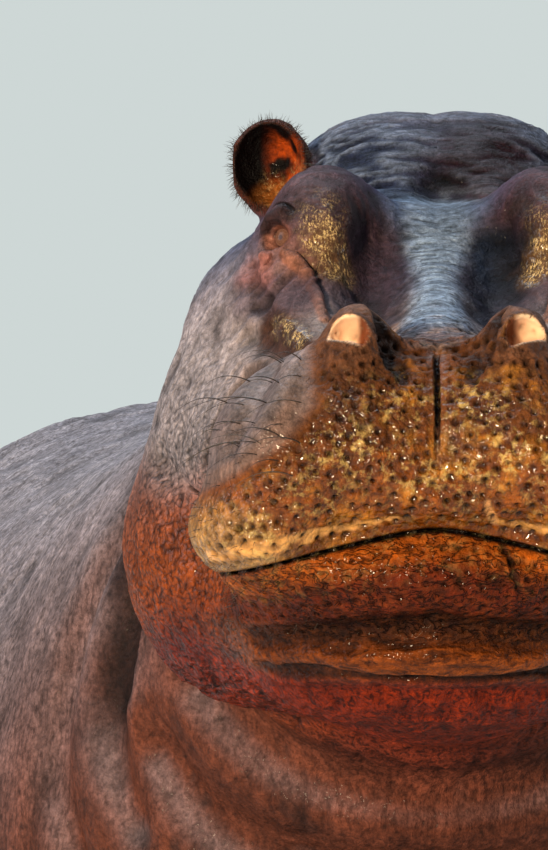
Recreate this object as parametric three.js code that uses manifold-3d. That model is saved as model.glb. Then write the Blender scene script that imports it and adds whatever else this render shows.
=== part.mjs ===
// Hippopotamus, a whole adult standing at rest. Millimetres, +Z up, nose toward -Y.
// The flesh is one rounded shape: named masses (skull, pads, barrel, limbs) melted together.
// Every solid is cut from that shape by casting rays out from a line running through the body.
import * as THREE from 'three';
import { mergeVertices } from 'three/addons/utils/BufferGeometryUtils.js';
import Module from 'manifold-3d';

const wasm = await Module();
wasm.setup();

// Driving dimensions. Heights are from the level of the chin, lengths from the front of the muzzle.
const CHIN_HEIGHT = 1120;
const GAP = 0.3;
const BEND = THREE.MathUtils.degToRad(12);
const BEND_START = 1150;
const BEND_SOFTNESS = 200;
const MIDLINE_OFFSET = 2;
const HEAD_END = 860;
const NECK_END = 1160;
const NECK_LEAN = 0.34;
const LEAN_START = 560;
const LEAN_END = 1700;
const CORE_DROP_START = 800;
const CORE_DROP_END = 1600;
const RUMP_CENTRE = 2780;
const MUZZLE_CENTRE = 260;
const HEAD_CORE_HEIGHT = 275;
const TRUNK_CORE_HEIGHT = -240;
const EYE = [150, 452, 500];
const EYE_RADIUS = 24;
const EYE_AXIS = [0.66, -0.74, 0.12];
const LID_SIZE = [34, 34, 32];
const LID_OPENING = [16, 15, 18];
const LID_DEPTH = 36;
const EAR = [181, 712, 578];
const EAR_SIZE = [43, 41, 50];
const EAR_CUP = [185, 689, 579];
const EAR_CUP_SIZE = [39, 39, 46];
const EAR_TURN = 18;
const NOSTRIL = [91, 48, 411];
const NOSTRIL_SIZE = [20.5, 27, 21.5];
const NOSTRIL_SILL = [-0.37, 0, 0.93];
const NOSTRIL_SILL_DROP = 4.5;
const NOSTRIL_DOME = [81, 92, 380];
const NOSTRIL_DOME_SIZE = [40, 60, 58];
const MOUTH_HEIGHT = 213;
const MOUTH_DROOP = 0.26;
const MOUTH_ROUND = 30;
const MOUTH_RISE_START = 150;
const MOUTH_RISE = 0.186;
const MOUTH_CURL = 0.00063;
const MOUTH_CORNER = 500;
const JAW_BLOCK = { columns: 10, rows: 5, halfWidth: 360, front: -60, floor: -200 };
const ANKLE = 140;
const LEG_TOP = 640;
const LEG_REACH = 215;
const FORE = { x: 360, y: 1315, leg: 1355, elbow: 1430, toe: 1, pad: [155, 172, 115] };
const HIND = { x: 355, y: 2845, leg: 2890, elbow: 2790, toe: 0.93, pad: [145, 165, 115] };
const TOES = [[-52, 120], [-18, 140], [18, 140], [52, 120]];
const TOE_SIZE = [42, 60, 52];
const TOE_HEIGHT = 46;
const NAIL_SIZE = [19, 15, 20];
const NAIL_SINK = 9;
const NAIL_DROP = 6;
const TAIL_PATH = [[3120, 60], [3220, 45], [3300, 5], [3350, -65], [3370, -160], [3370, -260], [3362, -350]];
const TAIL_WIDTHS = [60, 52, 44, 36, 29, 23, 15];
const TAIL_FLATNESS = 0.7;
const HEAD_SPOKES = 40;
const BODY_SPOKES = 30;
const LEG_SPOKES = 12;
const FOOT_SPOKES = 18;
const TAIL_SPOKES = 8;

// Rings and spokes of each round solid.
const DETAIL = {
  eye: [7, 10],
  lids: [8, 12],
  lidOpening: [6, 12],
  ear: [8, 12],
  earCup: [7, 11],
  nostrilDome: [8, 12],
  nostril: [6, 12],
  nail: [4, 7],
};

// How rays look for the surface.
const FAR = 500;
const BODY_REACH = 1200;
const STEP_SHARE = 0.7;
const LEAST_STEP = 3;
const HALVINGS = 24;
const MERGE_TOLERANCE = 1e-4;

const radians = THREE.MathUtils.degToRad;

// The body bends gently to its right behind the shoulders.
function sway(y) {
  const t = y - BEND_START;
  return MIDLINE_OFFSET - Math.tan(BEND) * 0.5 * (t + Math.hypot(t, BEND_SOFTNESS));
}

// A rounded mass, given for the left side and mirrored on the right.
function ball(name, at, size, blend, turn = [0, 0, 0]) {
  const matrix = new THREE.Matrix4();
  matrix.makeRotationFromEuler(new THREE.Euler(radians(turn[0]), radians(turn[1]), radians(turn[2]), 'ZYX'));
  const m = matrix.invert().elements;
  const distance = (x, y, z) => {
    const px = x - at[0];
    const py = y - at[1];
    const pz = z - at[2];
    const qx = (m[0] * px + m[4] * py + m[8] * pz) / size[0];
    const qy = (m[1] * px + m[5] * py + m[9] * pz) / size[1];
    const qz = (m[2] * px + m[6] * py + m[10] * pz) / size[2];
    const a = Math.hypot(qx, qy, qz);
    const b = Math.hypot(qx / size[0], qy / size[1], qz / size[2]);
    return a * (a - 1) / Math.max(b, 1e-9);
  };
  return { name, blend, distance };
}

// A tapered limb between two points, mirrored the same way.
function limb(name, from, to, startRadius, endRadius, blend) {
  const axis = to.map((v, i) => v - from[i]);
  const lengthSquared = axis[0] ** 2 + axis[1] ** 2 + axis[2] ** 2;
  const distance = (x, y, z) => {
    const px = x - from[0];
    const py = y - from[1];
    const pz = z - from[2];
    const along = (px * axis[0] + py * axis[1] + pz * axis[2]) / lengthSquared;
    const t = Math.min(Math.max(along, 0), 1);
    const away = Math.hypot(px - axis[0] * t, py - axis[1] * t, pz - axis[2] * t);
    return away - startRadius - (endRadius - startRadius) * t;
  };
  return { name, blend, distance };
}

const HEAD = [
  limb('core', [0, 200, 260], [0, 700, 320], 130, 170, 50),
  ball('cranium', [0, 628, 382], [185, 240, 163], 60),
  ball('crown', [52, 775, 470], [140, 165, 160], 50),
  ball('middle of crown', [0, 775, 470], [80, 155, 148], 34),
  ball('forehead', [0, 630, 430], [140, 100, 84], 50),
  ball('nape', [0, 930, 340], [190, 280, 235], 120),
  limb('bridge front', [0, 120, 325], [0, 350, 402], 76, 46, 24),
  limb('bridge waist', [0, 350, 402], [0, 420, 424], 46, 52, 20),
  limb('bridge back', [0, 420, 424], [0, 560, 446], 52, 80, 20),
  limb('saddle between brows', [0, 530, 466], [105, 500, 518], 44, 42, 40),
  ball('brow', [123, 485, 487], [60, 88, 88], 35),
  limb('snout ridge', [138, 440, 425], [118, 220, 320], 55, 60, 50),
  ball('cheekbone', [170, 580, 380], [101, 160, 120], 70),
  ball('jowl', [190, 560, 165], [148, 190, 165], 120),
  limb('cheek', [120, 220, 260], [170, 500, 290], 85, 110, 60),
  ball('muzzle pad', [80, 125, 300], [110, 125, 105], 30),
  ball('philtrum', [0, 125, 285], [100, 115, 95], 30),
  ball('whisker pad', [142, 145, 280], [92, 145, 98], 30),
  ball('lip lobe', [172, 155, 208], [83, 135, 60], 35),
  ball('upper lip', [0, 150, 247], [160, 130, 35], 30),
  ball('nostril dome', NOSTRIL_DOME, NOSTRIL_DOME_SIZE, 24),
  ball('lower lip', [0, 178, 168], [214, 158, 78], 25),
  ball('jaw front', [0, 215, 117], [197, 155, 67], 30),
  ball('chin', [0, 215, 82], [174, 150, 41], 15),
  limb('mandible', [110, 240, 120], [180, 520, 120], 80, 100, 60),
  ball('throat', [0, 500, 100], [190, 320, 140], 60),
  ball('throat roll', [0, 310, 42], [178, 155, 53], 20),
  ball('eyelids', EYE, [33, 33, 31], 14),
  limb('ear root', [134, 722, 500], [165, 716, 548], 43, 32, 20),
];

// Hollows beside the bridge of the nose, and the dip in front of the crown.
const HOLLOWS = [
  limb('back of side hollow', [66, 436, 508], [62, 385, 484], 12, 27, 32),
  limb('front of side hollow', [62, 385, 484], [60, 300, 450], 27, 24, 32),
  ball('dip', [0, 596, 560], [20, 30, 12], 46),
];

const BODY = [
  ball('neck', [0, 980, 120], [290, 380, 330], 140),
  ball('neck base', [0, 1140, -80], [370, 420, 420], 160),
  ball('chest', [0, 1450, -208], [530, 600, 502], 200),
  ball('barrel', [0, 2100, -285], [605, 920, 540], 200),
  ball('rump', [0, 2740, -265], [530, 540, 490], 200),
  ball('croup', [0, 3020, -215], [280, 270, 310], 180),
  ball('shoulder', [360, 1440, -400], [205, 280, 380], 120),
  ball('thigh', [335, 2720, -420], [235, 330, 380], 140),
];

const LIMBS = [
  limb('forearm', [375, 1440, -550], [365, 1360, -840], 185, 135, 100),
  limb('forepaw', [365, 1360, -840], [360, 1340, -980], 135, 138, 50),
  ball('forefoot', [FORE.x, FORE.y, -1060], FORE.pad, 50),
  limb('shank', [365, 2740, -580], [360, 2900, -820], 190, 135, 100),
  limb('hock', [360, 2900, -820], [355, 2870, -980], 132, 128, 50),
  ball('hindfoot', [HIND.x, HIND.y, -1060], HIND.pad, 50),
];

// Where a toe sits: its middle and the way it points, in degrees from straight ahead.
function toePlace(leg, index) {
  const [turn, reach] = TOES[index];
  const a = radians(turn);
  const x = leg.x + leg.toe * reach * Math.sin(a);
  const y = leg.y - leg.toe * reach * Math.cos(a);
  return { at: [x, y, TOE_HEIGHT * leg.toe - CHIN_HEIGHT], turn };
}

function toeMasses(leg) {
  return TOES.map((_, i) => {
    const { at, turn } = toePlace(leg, i);
    return ball('toe', at, TOE_SIZE.map((v) => v * leg.toe), 20, [0, 0, turn]);
  });
}

// The smaller of two distances, rounded where they meet.
function soften(f, d, blend) {
  const h = Math.max(blend - Math.abs(f - d), 0) / blend;
  return Math.min(f, d) - h * h * blend * 0.25;
}

// Signed distance to the melted masses less the hollows, negative inside.
function melt(masses, hollows) {
  return (x, y, z) => {
    const side = Math.abs(x - sway(y));
    let f = FAR;
    for (const mass of masses) {
      f = soften(f, mass.distance(side, y, z), mass.blend);
    }
    for (const hollow of hollows) {
      f = -soften(-f, hollow.distance(side, y, z), hollow.blend);
    }
    return f;
  };
}

// Everything but the lower legs, and everything a leg can meet.
const trunkShape = melt([...HEAD, ...BODY], HOLLOWS);
const legShape = melt([...BODY, ...LIMBS, ...toeMasses(FORE), ...toeMasses(HIND)], []);

// Distance from a point along a direction to where the shape's level is reached.
function castRay(shape, from, dir, level, reach) {
  const value = (t) => shape(from[0] + dir[0] * t, from[1] + dir[1] * t, from[2] + dir[2] * t) - level;
  let inner = 0;
  let outer = 0;
  let f = value(0);
  while (f < 0 && outer < reach) {
    inner = outer;
    outer += Math.max(-f * STEP_SHARE, LEAST_STEP);
    f = value(outer);
  }
  if (outer >= reach) {
    return reach;
  }
  for (let i = 0; i < HALVINGS; i += 1) {
    const middle = (inner + outer) / 2;
    if (value(middle) < 0) {
      inner = middle;
    } else {
      outer = middle;
    }
  }
  return (inner + outer) / 2;
}

// Turns a closed geometry into a solid that can be joined and cut.
function toSolid(geometry) {
  geometry.deleteAttribute('normal');
  geometry.deleteAttribute('uv');
  const merged = mergeVertices(geometry, MERGE_TOLERANCE);
  const vertProperties = new Float32Array(merged.attributes.position.array);
  const triVerts = new Uint32Array(merged.index.array);
  return new wasm.Manifold(new wasm.Mesh({ numProp: 3, vertProperties, triVerts }));
}

// Skins rings of points, each closed on itself, between two end points.
function skin(rings, start, end) {
  const count = rings[0].length;
  const last = rings.length * count + 1;
  const faces = [];
  const at = (ring, spoke) => 1 + ring * count + (spoke % count);
  for (let s = 0; s < count; s += 1) {
    faces.push(0, at(0, s + 1), at(0, s));
    for (let r = 0; r + 1 < rings.length; r += 1) {
      faces.push(at(r, s), at(r, s + 1), at(r + 1, s + 1));
      faces.push(at(r, s), at(r + 1, s + 1), at(r + 1, s));
    }
    faces.push(last, at(rings.length - 1, s), at(rings.length - 1, s + 1));
  }
  const geometry = new THREE.BufferGeometry();
  const positions = [...start, ...rings.flat(2), ...end];
  geometry.setAttribute('position', new THREE.Float32BufferAttribute(positions, 3));
  geometry.setIndex(faces);
  return toSolid(geometry);
}

// Height of the line that the rays leave from: level through the head, sloping down the neck.
function spine(y) {
  const neck = THREE.MathUtils.smoothstep(y, CORE_DROP_START, CORE_DROP_END);
  return THREE.MathUtils.lerp(HEAD_CORE_HEIGHT, TRUNK_CORE_HEIGHT, neck);
}

// How far a section leans back toward its top: upright in front, slanted through the neck.
function lean(y) {
  const smooth = THREE.MathUtils.smoothstep;
  return NECK_LEAN * smooth(y, LEAN_START, HEAD_END) * (1 - smooth(y, NECK_END, LEAN_END));
}

// One ring of a section through the body; tilt 90 is square across, 0 looks ahead, 180 behind.
function bodyRing(shape, y, tilt, spokes, level) {
  const from = [sway(y), y, spine(y)];
  const forward = -Math.cos(radians(tilt));
  const outward = Math.sin(radians(tilt));
  const ring = [];
  for (let s = 0; s < spokes; s += 1) {
    const a = 2 * Math.PI * s / spokes;
    const upward = outward * Math.cos(a);
    const dir = new THREE.Vector3(outward * Math.sin(a), forward + lean(y) * upward, upward);
    const aim = dir.normalize().toArray();
    const t = castRay(shape, from, aim, level, BODY_REACH);
    ring.push(from.map((v, i) => v + aim[i] * t));
  }
  return ring;
}

function pole(shape, y, forward, level) {
  const from = [sway(y), y, spine(y)];
  const t = castRay(shape, from, [0, forward, 0], level, BODY_REACH);
  return [from[0], y + forward * t, from[2]];
}

function middleOf(y) {
  return [sway(y), y, spine(y)];
}

// Where the sections stand: tilts fan around the muzzle and the rump, stations run along the body.
const HEAD_TILTS = [12, 24, 35, 44, 52, 60, 68, 76, 83];
const HEAD_STATIONS = [260, 290, 325, 365, 400, 430, 460, 490, 520, 555, 600, 650, 700, 755, 810, HEAD_END];
const NECK_STATIONS = [HEAD_END + GAP, 930, 1010, 1090, NECK_END];
const CHEST_STATIONS = [NECK_END + GAP, 1240, 1330, 1430, 1530, 1640, 1760];
const BELLY_STATIONS = [1890, 2020, 2150, 2280, 2400, 2510, 2600, 2690];
const RUMP_TILTS = [90, 105, 120, 136, 151, 166];
// Heights of a leg's sections above the floor, each with how far it draws in from the skin.
const FOOT_LEVELS = [[0, 9], [14, 0], [50, 0], [90, 0], [ANKLE, 0]];
const LEG_LEVELS = [[ANKLE + GAP, 0], [200, 0], [260, 0], [320, 0], [380, 0], [460, 25], [560, 70]];

function headLoft() {
  const muzzle = HEAD_TILTS.map((tilt) => bodyRing(trunkShape, MUZZLE_CENTRE, tilt, HEAD_SPOKES, 0));
  const skull = HEAD_STATIONS.map((y) => bodyRing(trunkShape, y, 90, HEAD_SPOKES, 0));
  return skin([...muzzle, ...skull], pole(trunkShape, MUZZLE_CENTRE, -1, 0), middleOf(HEAD_END));
}

function neckLoft() {
  const rings = NECK_STATIONS.map((y) => bodyRing(trunkShape, y, 90, BODY_SPOKES, 0));
  return skin(rings, middleOf(NECK_STATIONS[0]), middleOf(NECK_END));
}

function trunkLoft(level) {
  const stations = [...CHEST_STATIONS, ...BELLY_STATIONS];
  const barrel = stations.map((y) => bodyRing(trunkShape, y, 90, BODY_SPOKES, level));
  const rump = RUMP_TILTS.map((tilt) => bodyRing(trunkShape, RUMP_CENTRE, tilt, BODY_SPOKES, level));
  return skin([...barrel, ...rump], middleOf(stations[0]), pole(trunkShape, RUMP_CENTRE, 1, level));
}

// A level section of a leg, about its own upright axis, which leans from the foot to the elbow or knee.
function legRing(leg, side, height, spokes, inset) {
  const lower = THREE.MathUtils.lerp(leg.y, leg.leg, THREE.MathUtils.smoothstep(height, 0, ANKLE));
  const y = THREE.MathUtils.lerp(lower, leg.elbow, THREE.MathUtils.smoothstep(height, ANKLE, LEG_TOP));
  const from = [sway(y) + side * leg.x, y, height - CHIN_HEIGHT];
  const ring = [];
  for (let s = 0; s < spokes; s += 1) {
    const a = 2 * Math.PI * s / spokes;
    const dir = [Math.cos(a), Math.sin(a), 0];
    const t = castRay(legShape, from, dir, -inset, LEG_REACH);
    ring.push(from.map((v, i) => v + dir[i] * t));
  }
  return { ring, from };
}

function legLoft(leg, side, levels, spokes) {
  const sections = levels.map(([height, inset]) => legRing(leg, side, height, spokes, inset));
  return skin(sections.map((s) => s.ring), sections[0].from, sections.at(-1).from);
}

// A round solid from a stretched sphere, turned and set on one side of the body.
function roundSolid(at, size, turn, side, [across, around]) {
  const geometry = new THREE.SphereGeometry(1, around, across);
  geometry.scale(...size);
  const euler = new THREE.Euler(radians(turn[0]), radians(turn[1]) * side, radians(turn[2]) * side, 'ZYX');
  geometry.applyMatrix4(new THREE.Matrix4().makeRotationFromEuler(euler));
  geometry.translate(sway(at[1]) + side * at[0], at[1], at[2]);
  return toSolid(geometry);
}

const grow = (size, by) => size.map((v) => v + by);

// Height of the closed lips: a shallow frown in front, rising to the corners at the sides.
function mouthHeight(x, y) {
  const front = MOUTH_HEIGHT - MOUTH_DROOP * (Math.hypot(x, MOUTH_ROUND) - MOUTH_ROUND);
  const back = Math.max(y - MOUTH_RISE_START, 0);
  return front + MOUTH_RISE * back + MOUTH_CURL * back * back;
}

// Block holding everything below the lips and ahead of the mouth's corners.
function jawBlock(growth) {
  const { columns, rows, halfWidth, front, floor } = JAW_BLOCK;
  const back = MOUTH_CORNER + growth;
  const rings = [];
  for (let r = 0; r <= rows; r += 1) {
    const y = THREE.MathUtils.lerp(front, back, r / rows);
    const ring = [];
    for (let c = 0; c <= columns; c += 1) {
      const x = THREE.MathUtils.lerp(-halfWidth, halfWidth, c / columns);
      ring.push([x, y, mouthHeight(x, y) + growth]);
    }
    ring.push([halfWidth, y, floor], [-halfWidth, y, floor]);
    rings.push(ring);
  }
  return skin(rings, [0, front, 0], [0, back, 0]);
}

const UPRIGHT = [0, 0, 0];

function eyeSolid(side, growth) {
  return roundSolid(EYE, grow([EYE_RADIUS, EYE_RADIUS, EYE_RADIUS], growth), UPRIGHT, side, DETAIL.eye);
}

function lidOpening(side) {
  const at = EYE.map((v, i) => v + EYE_AXIS[i] * LID_DEPTH);
  const turn = THREE.MathUtils.radToDeg(Math.atan2(EYE_AXIS[0], -EYE_AXIS[1]));
  return roundSolid(at, LID_OPENING, [0, 0, turn], side, DETAIL.lidOpening);
}

function earShell(side, growth) {
  return roundSolid(EAR, grow(EAR_SIZE, growth), [0, 0, EAR_TURN], side, DETAIL.ear);
}

function earSolid(side) {
  return earShell(side, 0).subtract(roundSolid(EAR_CUP, EAR_CUP_SIZE, [0, 0, EAR_TURN], side, DETAIL.earCup));
}

// A nostril: the part of a round hollow above its sloping sill.
function nostrilSolid(side) {
  const up = [NOSTRIL_SILL[0] * side, NOSTRIL_SILL[1], NOSTRIL_SILL[2]];
  const middle = [sway(NOSTRIL[1]) + side * NOSTRIL[0], NOSTRIL[1], NOSTRIL[2]];
  const height = up[0] * middle[0] + up[1] * middle[1] + up[2] * middle[2];
  const hollow = roundSolid(NOSTRIL, NOSTRIL_SIZE, UPRIGHT, side, DETAIL.nostril);
  return hollow.trimByPlane(up, height - NOSTRIL_SILL_DROP);
}

// Skull, lips, nostrils and eyelids in one piece, hollowed for the eyes and ears.
function headSolid() {
  let solid = headLoft();
  for (const side of [1, -1]) {
    solid = solid.add(roundSolid(NOSTRIL_DOME, NOSTRIL_DOME_SIZE, UPRIGHT, side, DETAIL.nostrilDome));
    solid = solid.add(roundSolid(EYE, LID_SIZE, UPRIGHT, side, DETAIL.lids));
    solid = solid.subtract(nostrilSolid(side));
    solid = solid.subtract(lidOpening(side));
    solid = solid.subtract(eyeSolid(side, 2 * GAP));
    solid = solid.subtract(earShell(side, 2 * GAP));
  }
  return solid;
}

// A hoof-like nail, half sunk in the front of its toe.
function nailSolid(leg, index, side, growth) {
  const { at, turn } = toePlace(leg, index);
  const reach = TOE_SIZE[1] * leg.toe - NAIL_SINK;
  const a = radians(turn);
  const place = [at[0] + reach * Math.sin(a), at[1] - reach * Math.cos(a), at[2] - NAIL_DROP];
  return roundSolid(place, grow(NAIL_SIZE, growth), [0, 0, turn], side, DETAIL.nail);
}

function footSolid(leg, side) {
  let solid = legLoft(leg, side, FOOT_LEVELS, FOOT_SPOKES);
  TOES.forEach((_, i) => {
    solid = solid.subtract(nailSolid(leg, i, side, GAP));
  });
  return solid;
}

// The tail hangs from the rump, a little flattened from side to side.
function tailSolid() {
  const rings = TAIL_PATH.map(([y, z], i) => {
    const [y0, z0] = TAIL_PATH[Math.max(i - 1, 0)];
    const [y1, z1] = TAIL_PATH[Math.min(i + 1, TAIL_PATH.length - 1)];
    const length = Math.hypot(y1 - y0, z1 - z0);
    const out = [(z0 - z1) / length, (y1 - y0) / length];
    const ring = [];
    for (let s = 0; s < TAIL_SPOKES; s += 1) {
      const a = 2 * Math.PI * s / TAIL_SPOKES;
      const across = TAIL_WIDTHS[i] * TAIL_FLATNESS * Math.cos(a);
      const deep = TAIL_WIDTHS[i] * Math.sin(a);
      ring.push([sway(y) + across, y + out[0] * deep, z + out[1] * deep]);
    }
    return ring.reverse();
  });
  const [rootY, rootZ] = TAIL_PATH[0];
  const [tipY, tipZ] = TAIL_PATH.at(-1);
  return skin(rings, [sway(rootY), rootY, rootZ], [sway(tipY), tipY, tipZ - TAIL_WIDTHS.at(-1)]);
}

const FINISHES = {
  skin: { color: 0x77686a, roughness: 0.5, metalness: 0 },
  nail: { color: 0x3a3230, roughness: 0.55, metalness: 0 },
  eye: { color: 0x5a2c1a, roughness: 0.1, metalness: 0 },
};

const animal = new THREE.Group();

function addPart(name, finish, solid) {
  const { vertProperties, triVerts } = solid.getMesh();
  const geometry = new THREE.BufferGeometry();
  geometry.setAttribute('position', new THREE.Float32BufferAttribute(vertProperties, 3));
  geometry.setIndex([...triVerts]);
  geometry.computeVertexNormals();
  const mesh = new THREE.Mesh(geometry, new THREE.MeshStandardMaterial(FINISHES[finish]));
  mesh.name = name;
  animal.add(mesh);
}

const wholeHead = headSolid();
addPart('head', 'skin', wholeHead.subtract(jawBlock(GAP)));
addPart('lower_jaw', 'skin', wholeHead.intersect(jawBlock(0)));
addPart('neck', 'skin', neckLoft());
addPart('trunk', 'skin', trunkLoft(0));

const trunkCutter = trunkLoft(2 * GAP);
addPart('tail', 'skin', tailSolid().subtract(trunkCutter));
for (const [sideName, side] of [['left', 1], ['right', -1]]) {
  addPart(`eye_${sideName}`, 'eye', eyeSolid(side, 0));
  addPart(`ear_${sideName}`, 'skin', earSolid(side));
  for (const [end, leg] of [['fore', FORE], ['hind', HIND]]) {
    const upper = legLoft(leg, side, LEG_LEVELS, LEG_SPOKES).subtract(trunkCutter);
    addPart(`${end}leg_${sideName}`, 'skin', upper);
    addPart(`${end}foot_${sideName}`, 'skin', footSolid(leg, side));
    TOES.forEach((_, i) => {
      addPart(`${end}nail_${sideName}_${i + 1}`, 'nail', nailSolid(leg, i, side, 0));
    });
  }
}

// The origin is on the floor, under the middle of the whole animal.
const box = new THREE.Box3().setFromObject(animal);
const centre = box.getCenter(new THREE.Vector3());
animal.position.set(-centre.x, -centre.y, CHIN_HEIGHT);

const group = new THREE.Group();
group.add(animal);

export default group;
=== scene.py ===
# A whole adult hippopotamus, standing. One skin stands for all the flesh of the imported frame.
from math import atan, copysign, cos, pi, radians, sin, sqrt, tan

import bpy
import numpy as np
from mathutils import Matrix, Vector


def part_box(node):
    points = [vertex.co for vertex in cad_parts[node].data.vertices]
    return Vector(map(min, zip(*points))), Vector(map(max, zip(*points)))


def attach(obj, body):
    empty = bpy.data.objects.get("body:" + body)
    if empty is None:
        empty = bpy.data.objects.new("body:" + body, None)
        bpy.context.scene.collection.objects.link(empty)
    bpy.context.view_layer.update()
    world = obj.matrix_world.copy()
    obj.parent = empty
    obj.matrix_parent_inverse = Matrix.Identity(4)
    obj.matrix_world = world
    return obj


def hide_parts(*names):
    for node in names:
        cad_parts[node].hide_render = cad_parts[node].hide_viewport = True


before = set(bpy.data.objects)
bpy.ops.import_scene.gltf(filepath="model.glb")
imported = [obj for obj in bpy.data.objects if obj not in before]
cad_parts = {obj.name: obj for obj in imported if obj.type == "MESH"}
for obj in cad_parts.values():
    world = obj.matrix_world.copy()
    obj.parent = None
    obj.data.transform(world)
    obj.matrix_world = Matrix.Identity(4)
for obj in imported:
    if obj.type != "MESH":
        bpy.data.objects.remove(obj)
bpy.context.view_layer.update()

import openvdb
from mathutils import Vector
from mathutils.kdtree import KDTree
from numpy.linalg import norm

scene = bpy.context.scene

# Sizes are metres. x is across (the left side is +x), y runs back from the muzzle, z is up from the chin.
GROUND = -1.12
EYE = (0.15, 0.452, 0.5)
EYE_MM = np.array(EYE) * 1000
LOOK = np.array((0.66, -0.74, 0.12)) / sqrt(0.66**2 + 0.74**2 + 0.12**2)
EYE_RADIUS = 0.024
FINE_EDGE = 0.0046


def sway(y):
    """How far the body's middle lies to the side at y; it bends to its right behind the shoulders."""
    t = y - 1.15
    return 0.002 - tan(radians(12.0)) * 0.5 * (t + np.sqrt(t * t + 0.04))


low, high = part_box("eye_left")
SHIFT = np.array(low + high) / 2 - np.array((EYE[0] + sway(EYE[1]), EYE[1], EYE[2]))


def smooth_min(a, b, k):
    h = np.maximum(k - np.abs(a - b), 0) / k
    return np.minimum(a, b) - h * h * k * 0.25


def turned(x_deg, y_deg, z_deg):
    """Rotation matrix: about x first, then y, then z."""
    cx, cy, cz = (cos(radians(v)) for v in (x_deg, y_deg, z_deg))
    sx, sy, sz = (sin(radians(v)) for v in (x_deg, y_deg, z_deg))
    about_x = np.array([[1, 0, 0], [0, cx, -sx], [0, sx, cx]])
    about_y = np.array([[cy, 0, sy], [0, 1, 0], [-sy, 0, cy]])
    about_z = np.array([[cz, -sz, 0], [sz, cz, 0], [0, 0, 1]])
    return about_z @ about_y @ about_x


class Ball:
    """An ellipsoid in millimetres; k is how softly it melts in."""

    def __init__(self, at, size, k=40, mirror=True, turn=(0, 0, 0), carve=False):
        self.at, self.size, self.k = np.array(at) / 1000, np.array(size) / 1000, k / 1000
        self.mirror, self.carve, self.turn = mirror, carve, turned(*turn)
        self.low, self.high = self.at - self.size.max(), self.at + self.size.max()

    def distance(self, p):
        q = (p - self.at) @ self.turn
        a = np.sqrt(((q / self.size) ** 2).sum(1))
        b = np.sqrt(((q / self.size**2) ** 2).sum(1))
        return a * (a - 1.0) / np.maximum(b, 1e-6)


class Limb:
    """A tapered bar through points, in millimetres; flat squeezes it from side to side."""

    def __init__(self, points, radii, k=50, mirror=True, carve=False, flat=1.0):
        self.points = np.array(points, float) / 1000
        self.radii = np.broadcast_to(np.array(radii, float) / 1000, len(points))
        self.k, self.mirror, self.carve, self.flat = k / 1000, mirror, carve, flat
        self.low = self.points.min(0) - self.radii.max()
        self.high = self.points.max(0) + self.radii.max()

    def distance(self, p):
        squeeze = np.array((1 / self.flat, 1, 1))
        best = np.full(len(p), 9.0)
        for a, b, ra, rb in zip(self.points, self.points[1:], self.radii, self.radii[1:]):
            ab = (b - a) * squeeze
            q = (p - a) * squeeze
            t = np.clip(q @ ab / (ab @ ab), 0, 1)
            best = np.minimum(best, norm(q - t[:, None] * ab, axis=1) - (ra + (rb - ra) * t))
        return best


def field(p, masses, reach=0.06):
    """Distance to the melted masses, negative inside, exact only near the surface."""
    p = np.array(p, float)
    p[:, 0] -= sway(p[:, 1])
    mirrored = p.copy()
    mirrored[:, 0] = np.abs(mirrored[:, 0])
    f = np.full(len(p), 0.5)
    for mass in masses:
        q = mirrored if mass.mirror else p
        margin = reach + mass.k
        near = np.flatnonzero(((q > mass.low - margin) & (q < mass.high + margin)).all(1))
        if not len(near):
            continue
        sign = -1 if mass.carve else 1
        f[near] = sign * smooth_min(sign * f[near], mass.distance(q[near]), mass.k)
    return np.maximum(f, GROUND - p[:, 2])


def slope(p):
    """Direction out of the melted masses."""
    e = 0.0015
    g = np.stack([field(p + e * axis, MASSES) - field(p - e * axis, MASSES) for axis in np.eye(3)], 1)
    return g / np.maximum(norm(g, axis=1, keepdims=True), 1e-9)


HEAD = [
    Limb([(0, 200, 260), (0, 700, 320)], (130, 170)),
    Ball((0, 628, 382), (185, 240, 163), 60),
    Ball((52, 775, 470), (140, 165, 160), 50),
    Ball((0, 775, 470), (80, 155, 148), 34),
    Ball((0, 630, 430), (140, 100, 84), 50),
    Ball((0, 930, 340), (190, 280, 235), 120),
    Limb([(0, 120, 325), (0, 350, 402)], (76, 46), 24),
    Limb([(0, 350, 402), (0, 420, 424), (0, 560, 446)], (46, 52, 80), 20),
    Limb([(0, 530, 466), (105, 500, 518)], (44, 42), 40),
    Ball((123, 485, 487), (60, 88, 88), 35),
    Limb([(138, 440, 425), (118, 220, 320)], (55, 60)),
    Ball((170, 580, 380), (101, 160, 120), 70),
    Ball((190, 560, 165), (148, 190, 165), 120),
    Limb([(120, 220, 260), (170, 500, 290)], (85, 110), 60),
    Ball((80, 125, 300), (110, 125, 105), 30),
    Ball((0, 125, 285), (100, 115, 95), 30),
    Ball((142, 145, 280), (92, 145, 98), 30),
    Ball((172, 155, 208), (83, 135, 60), 35),
    Ball((0, 150, 247), (160, 130, 35), 30),
    Ball((81, 92, 380), (40, 60, 58), 24),
    Ball((0, 178, 168), (214, 158, 78), 25),
    Ball((0, 215, 117), (197, 155, 67), 30),
    Ball((0, 215, 82), (174, 150, 41), 15),
    Limb([(110, 240, 120), (180, 520, 120)], (80, 100), 60),
    Ball((0, 500, 100), (190, 320, 140), 60),
    Ball((0, 310, 42), (178, 155, 53), 20),
    Ball(EYE_MM, (33, 33, 31), 14),
    Ball((181, 712, 578), (43, 41, 50), 12, turn=(0, 0, 18)),
    Limb([(134, 722, 500), (165, 716, 548)], (43, 32), 20),
]
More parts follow.
